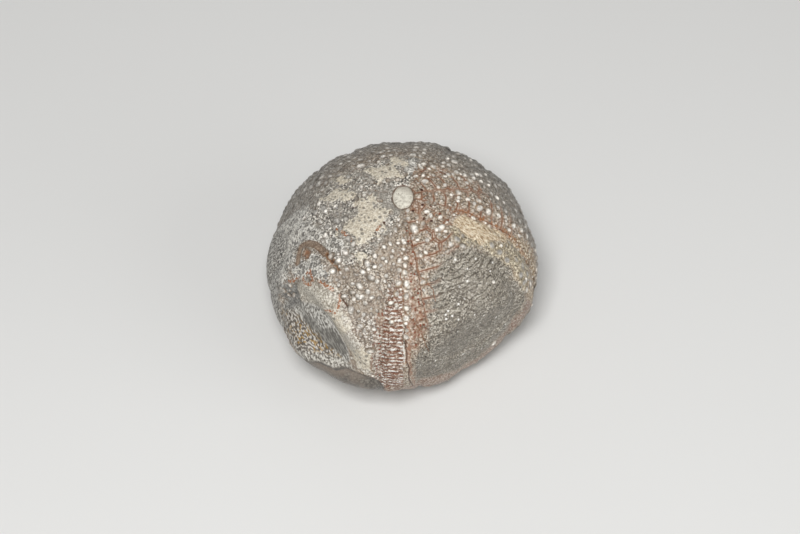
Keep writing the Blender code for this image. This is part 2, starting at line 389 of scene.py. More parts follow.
def mesh_of(name, form):
    """The form as a mesh of its own, smooth shaded."""
    mesh = bpy.data.meshes.new(name)
    form.to_mesh(mesh)
    form.free()
    mesh.shade_smooth()
    return mesh


def placed(name, data):
    """An object in the scene, made of this mesh, light or camera."""
    thing = bpy.data.objects.new(name, data)
    bpy.context.scene.collection.objects.link(thing)
    return thing


def set_attribute(mesh, name, values):
    """Writes one number a point, for the material to read."""
    mesh.attributes.new(name, "FLOAT", "POINT").data.foreach_set("value", np.asarray(values, np.float32))


def edge_share(depth, width):
    """0.5 on an outline, 1 this far inside it and 0 this far outside."""
    return np.clip(0.5 + depth / (2.0 * width), 0.0, 1.0)


ball = cube_sphere(SHELL_CUTS)
ways = np.array([vert.co[:] for vert in ball.verts])
shell_azimuth = np.degrees(np.arctan2(ways[:, 0], -ways[:, 1]))
shell_latitude = np.degrees(np.arcsin(np.clip(ways[:, 2], -1.0, 1.0)))
shell_spots = crown_map(shell_azimuth, shell_latitude)
for vert, point in zip(ball.verts, shell_points(shell_azimuth, shell_latitude)):
    vert.co = point
map_layer = ball.loops.layers.uv.new("crown_map")
for face in ball.faces:
    for loop in face.loops:
        loop[map_layer].uv = shell_spots[loop.vert.index] / 360.0 + 0.5
ball.normal_update()
shell_tree = BVHTree.FromBMesh(ball)
shell_mesh = mesh_of("shell", ball)

ZONE_REACH = 1.5 * MM
GROOVE_REACH = 0.8 * MM
# Grey calcite on the upper left, and grey painted shade along the far upper rim (the first and last patches):
# (azimuth, latitude, half length, half height, turn).
GREY_AND_RIM_SHADE_PATCHES = (
    (180.0, 26.0, 34.0 * MM, 9.0 * MM, 0.0),
    (-112.0, 26.0, 12.0 * MM, 9.0 * MM, 0.0),
    (-90.0, 56.0, 9.0 * MM, 4.0 * MM, 0.0),
    (134.0, 30.0, 7.0 * MM, 7.0 * MM, 0.0),
)


def zones_at(azimuth, latitude):
    """Each kind of ground at each place: 0.5 on its edge, 1 well inside and 0 well outside."""
    spots = crown_map(azimuth, latitude)
    zones = {name: edge_share(depth_inside(ZONES[name], spots), ZONE_REACH) for name in ZONES}
    zones["grey_and_rim_shade"] = np.max([patch_share(azimuth, latitude, patch, 0.7) for patch in GREY_AND_RIM_SHADE_PATCHES], axis=0)
    return zones


for zone, shares in zones_at(shell_azimuth, shell_latitude).items():
    set_attribute(shell_mesh, zone, shares)
near_groove = np.clip(1.0 - distance_to(GROOVE_LINES, shell_spots) / GROOVE_REACH, 0.0, 1.0)
set_attribute(shell_mesh, "groove", near_groove)


class Value:
    """One output of a finish's nodes. Arithmetic on it adds the nodes that work it out."""

    def __init__(self, finish, socket):
        self.finish = finish
        self.socket = socket

    def __add__(self, other):
        return self.finish.calc("ADD", self, other)

    def __sub__(self, other):
        return self.finish.calc("SUBTRACT", self, other)

    def __rsub__(self, other):
        return self.finish.calc("SUBTRACT", other, self)

    def __mul__(self, other):
        return self.finish.calc("MULTIPLY", self, other)

    def __truediv__(self, other):
        return self.finish.calc("DIVIDE", self, other)

    def __abs__(self):
        return self.finish.calc("ABSOLUTE", self)

    def most(self, other):
        return self.finish.calc("MAXIMUM", self, other)

    def least(self, other):
        return self.finish.calc("MINIMUM", self, other)

    def ramp(self, start, end, low=0.0, high=1.0):
        """Low at start and high at end, with a smooth rise between."""
        inputs = {"Value": self, "From Min": start, "From Max": end, "To Min": low, "To Max": high}
        return self.finish.add("ShaderNodeMapRange", inputs, interpolation_type="SMOOTHSTEP")


class Finish:
    """A material being made, with the ground laid down so far."""

    def __init__(self, name, roughness):
        self.material = bpy.data.materials.new(name)
        self.material.use_nodes = True
        self.tree = self.material.node_tree
        self.shader = self.tree.nodes["Principled BSDF"]
        self.shader.inputs["Roughness"].default_value = roughness
        self.where = self.add("ShaderNodeTexCoord", {}, "Object")
        self.ground = None

    def add(self, kind, inputs, output=0, **settings):
        """Adds a node and returns one of its outputs."""
        node = self.tree.nodes.new(kind)
        for name, value in settings.items():
            setattr(node, name, value)
        for name, value in inputs.items():
            if isinstance(value, Value):
                self.tree.links.new(value.socket, node.inputs[name])
            else:
                opaque = (*value, 1.0) if node.inputs[name].type == "RGBA" else value
                node.inputs[name].default_value = opaque
        return Value(self, node.outputs[output])

    def calc(self, operation, *values):
        return self.add("ShaderNodeMath", dict(enumerate(values)), operation=operation)

    def mix(self, share, first, second, blend="MIX"):
        inputs = {0: share, 6: first, 7: second}
        return self.add("ShaderNodeMix", inputs, 2, data_type="RGBA", blend_type=blend)

    def cover(self, share, colour):
        """Lays a colour over this share of the ground."""
        self.ground = self.mix(share, self.ground, colour)

    def vector(self, operation, *values):
        output = "Value" if operation in ("LENGTH", "DOT_PRODUCT") else "Vector"
        return self.add("ShaderNodeVectorMath", dict(enumerate(values)), output, operation=operation)

    def scaled(self, vector, scale):
        return self.add("ShaderNodeVectorMath", {0: vector, "Scale": scale}, operation="SCALE")

    def combined(self, *sides):
        return self.add("ShaderNodeCombineXYZ", dict(enumerate(sides)))

    def side(self, vector, index):
        return self.add("ShaderNodeSeparateXYZ", {0: vector}, index)

    def noise(self, size, detail=2.0, where=None, kind="Fac"):
        inputs = {"Vector": where or self.where, "Scale": 1.0 / size, "Detail": detail, "Roughness": 0.6}
        return self.add("ShaderNodeTexNoise", inputs, kind)

    def cells(self, size, randomness=1.0, where=None):
        inputs = {"Vector": where or self.where, "Scale": 1.0 / size, "Randomness": randomness}
        return self.add("ShaderNodeTexVoronoi", inputs, "Distance")

    def stretched(self, direction, times):
        """Coordinates in which a pattern is drawn out along one direction."""
        way = Vector(direction).normalized()
        along = self.vector("DOT_PRODUCT", self.where, way)
        return self.vector("SUBTRACT", self.where, self.scaled(way, along * (1.0 - 1.0 / times)))

    def gap_to(self, corners):
        """Distance in metres, along the shell, to a line of (azimuth, latitude) corners."""
        nearest = None
        for start, end in segments_of(corners, False):
            along = end - start
            offset = self.vector("SUBTRACT", flat_map, (*start, 0.0))
            share = self.vector("DOT_PRODUCT", offset, (*(along / (along @ along)), 0.0))
            foot = self.scaled((*along, 0.0), self.add("ShaderNodeClamp", {"Value": share}))
            gap = self.vector("LENGTH", self.vector("SUBTRACT", offset, foot))
            nearest = gap if nearest is None else nearest.least(gap)
        return nearest * DEGREE

    def line(self, corners, width, softness=0.06 * MM):
        """1 on a line of this width and 0 off it."""
        return self.gap_to(corners).ramp(max(width / 2.0 - softness, 0.0), width / 2.0 + softness, 1.0, 0.0)

    def lines(self, many, width):
        """1 on any of these lines."""
        total = None
        for corners in many:
            mark = self.line(corners, width)
            total = mark if total is None else total.most(mark)
        return total

    def speckled(self, colours, lights, darks):
        """A ground with darker pits and lighter grains: (ground, light, dark, how much of each)."""
        ground, light, dark, light_share, dark_share = colours
        return self.mix(lights * light_share, self.mix(darks * dark_share, ground, dark), light)

    def attribute(self, name):
        return self.add("ShaderNodeAttribute", {}, "Fac", attribute_name=name)

    def patchy(self, name, noise, spread=0.5, sharpness=0.08):
        """An attribute's area with an edge that the noise makes ragged."""
        loose = (noise - 0.5) * spread + self.attribute(name)
        return loose.ramp(0.5 - sharpness, 0.5 + sharpness)

    def bump(self, height, depth):
        """Raises the surface by height times depth, in metres."""
        raised = self.add("ShaderNodeBump", {"Height": height, "Distance": depth, "Strength": 1.0})
        self.tree.links.new(raised.socket, self.shader.inputs["Normal"])

    def colour(self, value):
        self.tree.links.new(value.socket, self.shader.inputs["Base Color"])


# Each ground: its colour, its light grains (in the common grain partly painted glints), its dark pits, and
# how strong the two are.
TAUPE = ((0.29, 0.225, 0.162), (0.74, 0.672, 0.57), (0.062, 0.043, 0.029), 0.8, 0.9)
RUSTY = ((0.318, 0.228, 0.152), (0.88, 0.825, 0.735), (0.095, 0.058, 0.038), 0.8, 0.8)
LADDER = ((0.235, 0.148, 0.098), (0.76, 0.665, 0.57), (0.115, 0.042, 0.02), 0.7, 0.85)
# Grey calcite, also laid on the far upper rim as painted shade.
GREY_AND_RIM_SHADE = ((0.215, 0.199, 0.174), (0.43, 0.41, 0.375), (0.085, 0.076, 0.065), 0.6, 0.75)
MOTTLED = ((0.28, 0.257, 0.22), (0.82, 0.78, 0.7), (0.048, 0.043, 0.038), 0.95, 0.95)
WORN = ((0.208, 0.18, 0.14), (0.7, 0.655, 0.57), (0.042, 0.033, 0.024), 0.9, 0.92)
EDGE = ((0.255, 0.196, 0.157), (0.64, 0.55, 0.47), (0.185, 0.078, 0.036), 0.7, 0.75)
BEIGE = ((0.61, 0.5, 0.35), (0.84, 0.76, 0.61), (0.23, 0.13, 0.058), 0.8, 0.85)
OLIVE = ((0.36, 0.3, 0.208), (0.74, 0.665, 0.51), (0.08, 0.054, 0.03), 0.9, 0.9)
CREAM = ((0.59, 0.525, 0.415), (0.76, 0.715, 0.61), (0.3, 0.25, 0.188), 0.8, 0.55)
WHITE = ((0.56, 0.532, 0.474), (0.8, 0.775, 0.72), (0.085, 0.078, 0.068), 0.85, 0.88)
RIDGE = ((0.5, 0.455, 0.385), (0.74, 0.71, 0.64), (0.19, 0.155, 0.12), 0.75, 0.75)
GRANULAR = ((0.29, 0.24, 0.192), (0.76, 0.72, 0.655), (0.085, 0.062, 0.046), 0.85, 0.85)
BROW = ((0.4, 0.364, 0.3), (0.78, 0.74, 0.655), (0.14, 0.113, 0.085), 0.75, 0.7)
SCAR_STONE = ((0.262, 0.246, 0.216), (0.64, 0.625, 0.58), (0.08, 0.072, 0.062), 0.75, 0.75)
# Painted shade for the scar's upper wall, with the scar's streaks.
FACET_PAINTED_SHADE = ((0.15, 0.142, 0.125), (0.3, 0.288, 0.26), (0.085, 0.078, 0.068), 0.6, 0.6)
FACET_LEFT = ((0.195, 0.17, 0.143), (0.58, 0.552, 0.5), (0.062, 0.051, 0.04), 0.7, 0.75)
HOLLOW_GREY = ((0.17, 0.163, 0.15), (0.36, 0.348, 0.32), (0.08, 0.075, 0.068), 0.6, 0.6)
FLANK = ((0.25, 0.233, 0.206), (0.64, 0.62, 0.57), (0.062, 0.056, 0.048), 0.8, 0.85)
# The lip: its grey-brown stone darkened with painted shade.
LIP_WITH_PAINTED_SHADE = ((0.118, 0.105, 0.088), (0.23, 0.209, 0.178), (0.07, 0.06, 0.05), 0.65, 0.75)
RIM = ((0.265, 0.245, 0.21), (0.62, 0.598, 0.54), (0.08, 0.068, 0.054), 0.8, 0.8)
TAN = ((0.33, 0.245, 0.155), (0.78, 0.69, 0.55), (0.12, 0.06, 0.026), 0.85, 0.85)

PALE_BAND = (0.4, 0.325, 0.25)
DUSKY = (0.19, 0.152, 0.125)
RUST_DARK = (0.24, 0.058, 0.022)
RUST_BROWN = (0.275, 0.125, 0.058)
RUST_PINK = (0.4, 0.24, 0.165)
RUST_BRIGHT = (0.33, 0.125, 0.048)
HALO_RUST = (0.33, 0.165, 0.1)
RUNG_RUST = (0.185, 0.062, 0.028)
SEAM_RUST = (0.22, 0.088, 0.038)
SEAM_BROWN = (0.11, 0.085, 0.06)
ORANGE = (0.335, 0.135, 0.045)
OCHRE = (0.3, 0.18, 0.045)
PORE_DARK = (0.07, 0.018, 0.008)
LINE_DARK = (0.11, 0.045, 0.022)
WORN_DARK = (0.165, 0.145, 0.118)
ARC_LIGHT = (0.45, 0.415, 0.345)
ARC_DARK = (0.075, 0.06, 0.042)
CALCITE_WHITE = (0.8, 0.78, 0.74)
# Dark spots of tubercles under the crust, and the painted shadow under the ledge line.
DARK_SPOT_AND_LEDGE_SHADOW = (0.095, 0.087, 0.078)
RING_GREY = (0.3, 0.28, 0.245)
CREAM_SPOT = (0.15, 0.135, 0.112)
LIP_BROWN = (0.215, 0.176, 0.143)
MUD_DARK = (0.185, 0.125, 0.084)
MUD_LIGHT = (0.31, 0.235, 0.172)
MUD_ORANGE = (0.27, 0.11, 0.04)
GROOVE_DARK = (0.12, 0.062, 0.03)
ARM_BROWN = (0.235, 0.12, 0.055)
ARM_DARK = (0.08, 0.038, 0.018)
PLUG_RING = (0.13, 0.075, 0.045)

PLATE_HEIGHT = 5.83
FIRST_PLATE = 3.4
ZIGZAG_ANGLE = 34.5
ZIGZAG = 1.6
RUNG = 0.58 * MM
CROWN_DEGREE = 0.29 * MM

stone = Finish("fossil_shell_calcite", 0.44)
cover, mix, patchy, speckled, cells = stone.cover, stone.mix, stone.patchy, stone.speckled, stone.cells
raw_map = stone.vector("SUBTRACT", stone.add("ShaderNodeUVMap", {}, uv_map="crown_map"), (0.5, 0.5, 0.0))
raw_map = stone.scaled(raw_map, 360.0)
wander = stone.vector("SUBTRACT", stone.noise(1.5 * MM, kind="Color"), (0.5, 0.5, 0.5))
flat_map = stone.vector("ADD", raw_map, stone.vector("MULTIPLY", wander, (2.2, 2.2, 0.0)))
from_apex = stone.vector("LENGTH", flat_map)
turned = stone.calc("DEGREES", stone.calc("ARCTAN2", stone.side(flat_map, 0), stone.side(flat_map, 1) * -1.0))

# Distances from the plates' edges, in metres along the shell.
signed_angle = stone.calc("FLOORED_MODULO", turned + RAY_SPACING / 2.0, RAY_SPACING) - RAY_SPACING / 2.0
angle = abs(signed_angle)
degree_across = stone.calc("SINE", stone.calc("RADIANS", from_apex)) * math.radians(AMBITUS_RADIUS)
half_width = (1.0 - stone.calc("EXPONENT", from_apex / -RAY_WIDENS_OVER)) * RAY_WIDEST
in_ray = angle / half_width
left_side = 1.0 - stone.calc("GREATER_THAN", signed_angle, 0.0)
from_row = stone.calc("PINGPONG", (from_apex - FIRST_PLATE) / PLATE_HEIGHT + left_side * 0.5, 0.5)
median = from_row * (4.0 * ZIGZAG) + (ZIGZAG_ANGLE - ZIGZAG)
median_gap = abs(median - angle) * degree_across
edge_gap = abs(half_width - angle) * degree_across
plate_gap = (from_row * (PLATE_HEIGHT * DEGREE)).least(median_gap).least(edge_gap)
in_field = in_ray.ramp(0.98, 1.02)
seam = plate_gap.ramp(0.05 * MM, 0.1 * MM, 1.0, 0.0) * in_field
seam_stain = plate_gap.ramp(0.1 * MM, 0.34 * MM, 0.5, 0.0) * in_field

# Pores: slanting rows of small holes in the outer half of each ray.
down = from_apex * DEGREE
pore_band = in_ray.ramp(0.36, 0.5) * in_ray.ramp(1.1, 1.0) * from_apex.ramp(9.0, 13.0)
pore = cells(0.56 * MM, 0.75).ramp(0.22, 0.32, 1.0, 0.0) * pore_band

# The rungs of worn pore plates on the left of the front ray.
rung_wave = stone.noise(1.9 * MM) * 1.5 + (down / RUNG + turned.ramp(-6.2, -5.2) * 0.35)
rung = stone.calc("PINGPONG", rung_wave, 0.5)
ladder = turned.ramp(-9.4, -8.4) * turned.ramp(1.0, 0.2) * from_apex.ramp(38.0, 50.0)
ladder = ladder * from_apex.ramp(99.0, 93.0)
ladder_break = abs(abs(turned + 4.2) - 1.9).ramp(0.15, 0.55)

# Grain: light flecks and dark pits, the same over most grounds but for their strength. The light flecks are
# partly pale grains of the stone and partly painted glints.
coarse = stone.noise(4.5 * MM, 3.0)
medium = stone.noise(1.7 * MM, 3.0)
fine = stone.noise(0.25 * MM, 1.0)
shifted = stone.vector("ADD", stone.where, (0.031, 0.017, 0.043))
flecks_and_glints = cells(0.44 * MM).ramp(0.42, 0.3).most(fine.ramp(0.54, 0.6) * 0.75)
pits = stone.noise(0.27 * MM, 1.0, shifted).ramp(0.49, 0.43) * 0.8
pits = pits.most(cells(0.4 * MM, 1.0, shifted).ramp(0.42, 0.32))
down_streak = stone.noise(0.22 * MM, 1.0, stone.stretched((0.0, -0.2, 1.0), 4.5))
scar_streak = stone.noise(0.24 * MM, 0.0, stone.stretched((0.55, -0.25, -0.8), 9.0))
arc = turned * (0.3 * MM)
row_streak = stone.noise(0.22 * MM, 2.0, stone.combined(arc / 3.0, down))
fall_streak = stone.noise(0.28 * MM, 2.0, stone.combined(arc, down / 3.0))


def grainy(colours):
    """A ground with the common grain, whose light flecks are partly painted glints."""
    return speckled(colours, flecks_and_glints, pits)


quiet = coarse.ramp(0.56, 0.44, 0.6, 1.0)
stone.ground = speckled(TAUPE, flecks_and_glints * quiet, pits * quiet)
cover(coarse.ramp(0.5, 0.62, 0.0, 0.45), PALE_BAND)
cover(medium.ramp(0.5, 0.3) * 0.45, DUSKY)
# The grey patches: grey calcite, and painted shade along the far upper rim.
cover(stone.attribute("grey_and_rim_shade") * 0.85, grainy(GREY_AND_RIM_SHADE))
calm = stone.noise(3.0 * MM, 2.0, shifted).ramp(0.6, 0.46, 0.35, 1.0)
cover(patchy("mottled", coarse, 0.9, 0.2), speckled(MOTTLED, flecks_and_glints * calm, pits * calm))
rusty = patchy("rusty", coarse, 0.7, 0.25)
blob_gap = cells(0.62 * MM)
rust_flecks_and_glints = (flecks_and_glints * 0.7).most(blob_gap.ramp(0.4, 0.22)) * medium.ramp(0.36, 0.5, 0.45, 1.0)
rust_pits = (pits * 0.8).most(blob_gap.ramp(0.5, 0.64))
rust_patches = stone.noise(3.1 * MM, 2.0, shifted).ramp(0.44, 0.58)
rusty_stone = mix(medium.ramp(0.46, 0.6) * 0.45, speckled(RUSTY, rust_flecks_and_glints, rust_pits), RUST_PINK)
rusty_stone = mix(rust_patches, speckled(TAUPE, rust_flecks_and_glints, pits), rusty_stone)
cover(rusty * 0.9, rusty_stone)
cover(patchy("granular", medium, 0.8, 0.2), grainy(GRANULAR))
cover(patchy("edge_band", medium, 0.4, 0.2), grainy(EDGE))

# The worn flat at the right, with its growth arcs.
worn = patchy("worn", medium, 0.6, 0.15)
# Light streaks and specks of the worn flat, partly painted glints.
worn_flecks_and_glints = (row_streak.ramp(0.54, 0.64) * 0.6).most(fine.ramp(0.53, 0.61))
worn_flecks_and_glints = worn_flecks_and_glints * coarse.ramp(0.4, 0.6, 0.45, 1.0)
worn_pits = (row_streak.ramp(0.45, 0.36) * 0.6).most(pits)
growth = stone.calc("PINGPONG", stone.noise(2.2 * MM) * 1.5 + down / (0.88 * MM), 0.5)
growth_share = medium.ramp(0.42, 0.52) * from_apex.ramp(68.0, 56.0, 0.25, 1.0)
worn_stone = speckled(WORN, worn_flecks_and_glints, worn_pits)
worn_stone = mix(coarse.ramp(0.5, 0.62) * 0.4, worn_stone, WORN_DARK)
worn_stone = mix(growth.ramp(0.14, 0.24) * (growth_share * 0.36), worn_stone, ARC_LIGHT)
worn_stone = mix(growth.ramp(0.12, 0.03) * growth_share * 0.78, worn_stone, ARC_DARK)
worn_stone = mix(cells(1.3 * MM).ramp(0.17, 0.09), worn_stone, CALCITE_WHITE)
cover(worn, worn_stone)

# The seams between plates, and the pores.
seam_strength = (rusty * 0.75 + 0.18).most(worn * 0.6)
seam_strength = seam_strength * stone.noise(2.6 * MM, 1.0, shifted).ramp(0.38, 0.52, 0.25, 1.0)
cover(seam_stain * rusty, RUST_PINK)
cover(seam * seam_strength, mix(worn, SEAM_RUST, SEAM_BROWN))
cover(pore_band * medium.ramp(0.4, 0.62, 0.05, 0.35) * rusty, RUST_BROWN)
cover(pore * ((rusty * 0.75 + 0.2) * worn.ramp(0.0, 1.0, 1.0, 0.0)), RUST_DARK)

dash = stone.noise(0.5 * MM, 1.0, stone.stretched((1.0, 0.0, 0.0), 1.6))
rung_light = rung.ramp(0.25, 0.36) * dash.ramp(0.46, 0.58, 0.0, 0.95) * (ladder_break * 0.8 + 0.2)
rung_dark = rung.ramp(0.2, 0.1) * dash.ramp(0.58, 0.46, 0.25, 0.95)
ladder_stone = mix(rung_light, grainy(LADDER), CALCITE_WHITE)
cover(ladder, mix(rung_dark, ladder_stone, RUNG_RUST))

# Cracks and stained lines.
WHITE_LINE = (1, 27,  0.9, 22,  1, 12)
BROWN_LINES = (
    (-1, 54,  0, 45,  1, 42,  1, 38,  2, 35,  4, 33,  6, 31,  9, 25,  11, 19,  12, 15),
    (10, 63,  12, 57,  12, 52,  13, 49,  17, 46,  19, 43,  19, 38),
    (85, 84,  69, 82,  97, 78,  105, 77,  111, 73,  109, 64,  109, 56),
    (105, 77,  157, 76,  163, 72,  147, 68,  138, 64),
    (69, 82,  54, 80,  35, 77),
    (58, 74,  57, 70,  57, 65,  62, 62),
)
DARK_LINES = (
    (2, 32,  2, 28,  1, 25,  2, 22,  2, 13,  3, 9,  3, 0,  5, -10),
    (-35, 37,  -32, 35,  -28, 33,  -26, 31),
)
RUST_LINES = (
    (-57, 34,  -57, 36,  -51, 35,  -53, 34),
    (-66, 22,  -65, 23,  -64, 26,  -61, 29),
    (-58, 31,  -55, 31,  -51, 33),
    (-48, 37,  -43, 37,  -39, 37),
    (-35, 36,  -33, 35,  -32, 31),
    (-38, 27,  -35, 29,  -33, 29),
    (-67, 56,  -62, 57,  -54, 58,  -48, 58),
    (-35, 71,  -33, 68),
)
DARK_HOLES = (-32, 73,  114, 80,  29, 80,  65, 79,  48, 75,  40, 74,  46, 71)
ORANGE_LINE = (79, 64,  83, 58,  84, 48,  85, 38,  83, 28,  80, 14)
HALO_LINE = (3.2, 31,  3.2, 12,  4.2, 2,  6, -10)
LIP_EDGE = (-55, -6,  -45, -4,  -37, -1,  -29, 0,  -24, 2,  -15, 2,  -12, 1,  -9, -3)


cover(patchy("tan", medium, 1.2, 0.2), grainy(TAN))
cover(patchy("olive", medium, 0.8, 0.2), grainy(OLIVE))
beige_pits = (pits * 0.7).most(fall_streak.ramp(0.45, 0.38))
cover(patchy("beige", medium), speckled(BEIGE, fall_streak.ramp(0.52, 0.6), beige_pits))
orange_dots = cells(0.6 * MM, 0.9).ramp(0.44, 0.28, 0.25, 0.95)
cover(stone.line(ORANGE_LINE, 0.8 * MM, 0.35 * MM) * orange_dots, ORANGE)
brown_lines = stone.lines(BROWN_LINES, 0.13 * MM)
cover(brown_lines * 0.8, RUST_BROWN)
cover(stone.line(HALO_LINE, 0.55 * MM, 0.25 * MM) * fine.ramp(0.58, 0.44, 0.15, 0.75), HALO_RUST)
cover(stone.line(WHITE_LINE, 0.14 * MM) * medium.ramp(0.44, 0.54, 0.1, 0.9), CALCITE_WHITE)

# Lime crust, with the tops of tubercles showing through it as dark rings and spots.
ragged = fine * 0.35 + medium * 0.65
from_ring = cells(1.05 * MM, 0.9) - medium.ramp(0.36, 0.6, 0.1, 0.36)
from_spot = cells(0.8 * MM) - medium.ramp(0.34, 0.58, 0.1, 0.34)
white_stone = speckled(WHITE, flecks_and_glints, pits.most(cells(0.46 * MM).ramp(0.26, 0.16, 0.0, 0.9)))
white_stone = mix(from_ring.ramp(0.0, -0.05) * 0.75, white_stone, RING_GREY)
white_stone = mix(abs(from_ring).ramp(0.04, 0.12, 1.0, 0.0) * 0.8, white_stone, DARK_SPOT_AND_LEDGE_SHADOW)
cream_stone = mix(from_spot.ramp(0.03, -0.04) * 0.75, grainy(CREAM), CREAM_SPOT)
cover(patchy("white", ragged, 2.2), white_stone)
cover(patchy("brow", ragged, 1.2, 0.15), grainy(BROW))
cover(patchy("cream", ragged, 2.4, 0.06), cream_stone)
cover(patchy("ridge", ragged, 1.0, 0.06), mix(coarse.ramp(0.46, 0.58), grainy(RIDGE), cream_stone))

# The left flank, the facets of the scar and the lip under it, with painted shade on the scar's upper wall, on
# the lip and in a band under the ledge line.
flank_stone = speckled(FLANK, down_streak.ramp(0.51, 0.6), down_streak.ramp(0.49, 0.4))
cover(patchy("flank", coarse * 0.5 + ragged * 0.5, 2.4, 0.4), flank_stone)
scar_flecks = scar_streak.ramp(0.51, 0.6)
scar_pits = scar_streak.ramp(0.49, 0.4)
scar_light = scar_flecks.most(flecks_and_glints * 0.45)
cover(patchy("scar", medium, 0.3, 0.15), speckled(SCAR_STONE, scar_light, scar_pits))
cover(patchy("hollow", ragged, 0.8, 0.2), grainy(HOLLOW_GREY))
# The scar's upper wall under the brow, darkened with painted shade.
painted_shade_facet = patchy("painted_shade_facet", medium, 0.4, 0.12)
cover(painted_shade_facet, speckled(FACET_PAINTED_SHADE, scar_flecks, scar_pits))
ochre_way = stone.vector("ADD", stone.stretched((0.5, -0.35, -0.8), 4.0), (0.02, 0.0, 0.01))
ochre = coarse.ramp(0.42, 0.5) * stone.noise(0.34 * MM, 1.0, ochre_way).ramp(0.53, 0.6, 0.0, 0.85)
left_stone = mix(ochre, speckled(FACET_LEFT, scar_flecks, scar_pits), OCHRE)
cover(patchy("left_facet", medium, 0.3, 0.15), left_stone)
cover(patchy("scar_rim", medium, 0.4, 0.15), speckled(RIM, scar_light, scar_pits))
# The lip under the scar, darker towards the bottom: its stone colour with painted shade.
lip = ((medium - 0.5) * 24.0 + from_apex).ramp(113.0, 103.0) * patchy("lip", ragged, 0.3, 0.1)
cover(lip, mix(coarse.ramp(0.46, 0.6, 0.0, 0.7), grainy(LIP_WITH_PAINTED_SHADE), LIP_BROWN))
# Painted shadow: a dark band just under the ledge line, where the scar's rim overhangs the lip.
cover(stone.gap_to(LIP_EDGE).ramp(0.3 * MM, 0.1 * MM) * lip, DARK_SPOT_AND_LEDGE_SHADOW)

# The hook-shaped groove with its mud, its straight arm, and the darkest lines and holes.
near_groove = stone.attribute("groove")
groove = near_groove.ramp(0.34, 0.46)
groove_mud = mix(fine.ramp(0.4, 0.6), MUD_DARK, MUD_LIGHT)
curl = stone.line(HOOK_CURL, 0.45 * MM, 0.12 * MM) * medium.ramp(0.4, 0.56, 0.2, 0.8)
cover(groove * 0.92, mix(curl, groove_mud, MUD_ORANGE))
cover(groove * near_groove.ramp(0.62, 0.48) * fine.ramp(0.58, 0.44, 0.35, 0.85), GROOVE_DARK)
cover(stone.line(HOOK_ARM, 0.5 * MM, 0.1 * MM) * 0.9, ARM_BROWN)
cover(stone.line(HOOK_ARM, 0.16 * MM) * medium.ramp(0.42, 0.52), ARM_DARK)
cover(stone.lines(RUST_LINES, 0.42 * MM) * fine.ramp(0.56, 0.46, 0.1, 1.0), RUST_BRIGHT)
dark_lines = stone.lines(DARK_LINES, 0.2 * MM)
cover(dark_lines * 0.95, LINE_DARK)
holes = None
for azimuth, latitude in np.reshape(DARK_HOLES, (-1, 2)):
    gap = stone.vector("LENGTH", stone.vector("SUBTRACT", flat_map, (*crown_map(azimuth, latitude), 0.0)))
    holes = gap if holes is None else holes.least(gap)
holes = holes.ramp(0.45, 0.85, 1.0, 0.0)
cover(holes, PORE_DARK)

# The dark line round the limestone plug.
plug_scale = (CROWN_DEGREE / PLUG_HALF_WIDTH, CROWN_DEGREE / PLUG_HALF_LENGTH, 0.0)
plug_reach = stone.vector("LENGTH", stone.vector("MULTIPLY", raw_map, plug_scale))
cover(abs(plug_reach - 1.0).ramp(0.04, 0.12, 1.0, 0.0) * 0.85, PLUG_RING)
stone.colour(stone.ground)

relief = (fine * 0.8 + pits * -0.3) * lip.most(painted_shade_facet).ramp(0.0, 1.0, 1.0, 0.25)
relief = relief - (seam * seam_strength).most(dark_lines.most(brown_lines)) * 0.8
relief = relief - pore.most(holes) * 1.2
stone.bump(ladder * rung.ramp(0.1, 0.4) * 0.9 + relief, 0.12 * MM)

shell_mesh.materials.append(stone.material)
shell = placed("urchin_shell", shell_mesh)
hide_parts("sea_urchin_fossil")
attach(shell, "root")


# --------------------------------------------------------------------------------------
# The limestone plug. Pale lime mud set hard in the anal opening at the crown, worn to a
# low oval cushion. It is a round form spun from its profile and stretched to the opening.
# --------------------------------------------------------------------------------------

PLUG_PROFILE = ((1.0, -0.9), (0.97, 0.1), (0.91, 0.62), (0.78, 0.88), (0.55, 0.97), (0.3, 1.0), (0.0, 1.0))
PLUG_HEIGHT = 0.42 * MM
PLUG_LENGTH_SHARE = 0.97
PLUG_WOBBLE = 0.11


def turned_form(profile, steps):
    """A round form: (radius, height) points from the foot up, spun about Z."""
    form = bmesh.new()
    verts = [form.verts.new((radius, 0.0, height)) for radius, height in profile]
    edges = [form.edges.new(pair) for pair in zip(verts, verts[1:])]
    axis = {"cent": (0.0, 0.0, 0.0), "axis": (0.0, 0.0, 1.0), "angle": 2.0 * math.pi}
    bmesh.ops.spin(form, geom=verts + edges, steps=steps, use_merge=True, **axis)
    bmesh.ops.remove_doubles(form, verts=form.verts[:], dist=1e-5)
    bmesh.ops.recalc_face_normals(form, faces=form.faces[:])
    if sum(face.normal.z for face in form.faces) < 0.0:
        bmesh.ops.reverse_faces(form, faces=form.faces[:])
    return form


def seat_on_shell(azimuth, latitude):
    """Where a line from the centre meets the shell, and the shell's slope there."""
    centre = Vector((0.0, 0.0, AMBITUS_HEIGHT))
    centre += Vector(APEX_SHIFT * smooth_step(latitude, APEX_SHIFT_FROM, 90.0))
    place, slope, _, _ = shell_tree.ray_cast(centre, Vector(direction_to(azimuth, latitude)))
    for turn, rise in ((4.0, 0.0), (-4.0, 0.0), (0.0, 3.0), (0.0, -3.0)):
        beside = Vector(direction_to(azimuth + turn, latitude + rise))
        slope += shell_tree.ray_cast(centre, beside)[1]
    return place, slope.normalized()


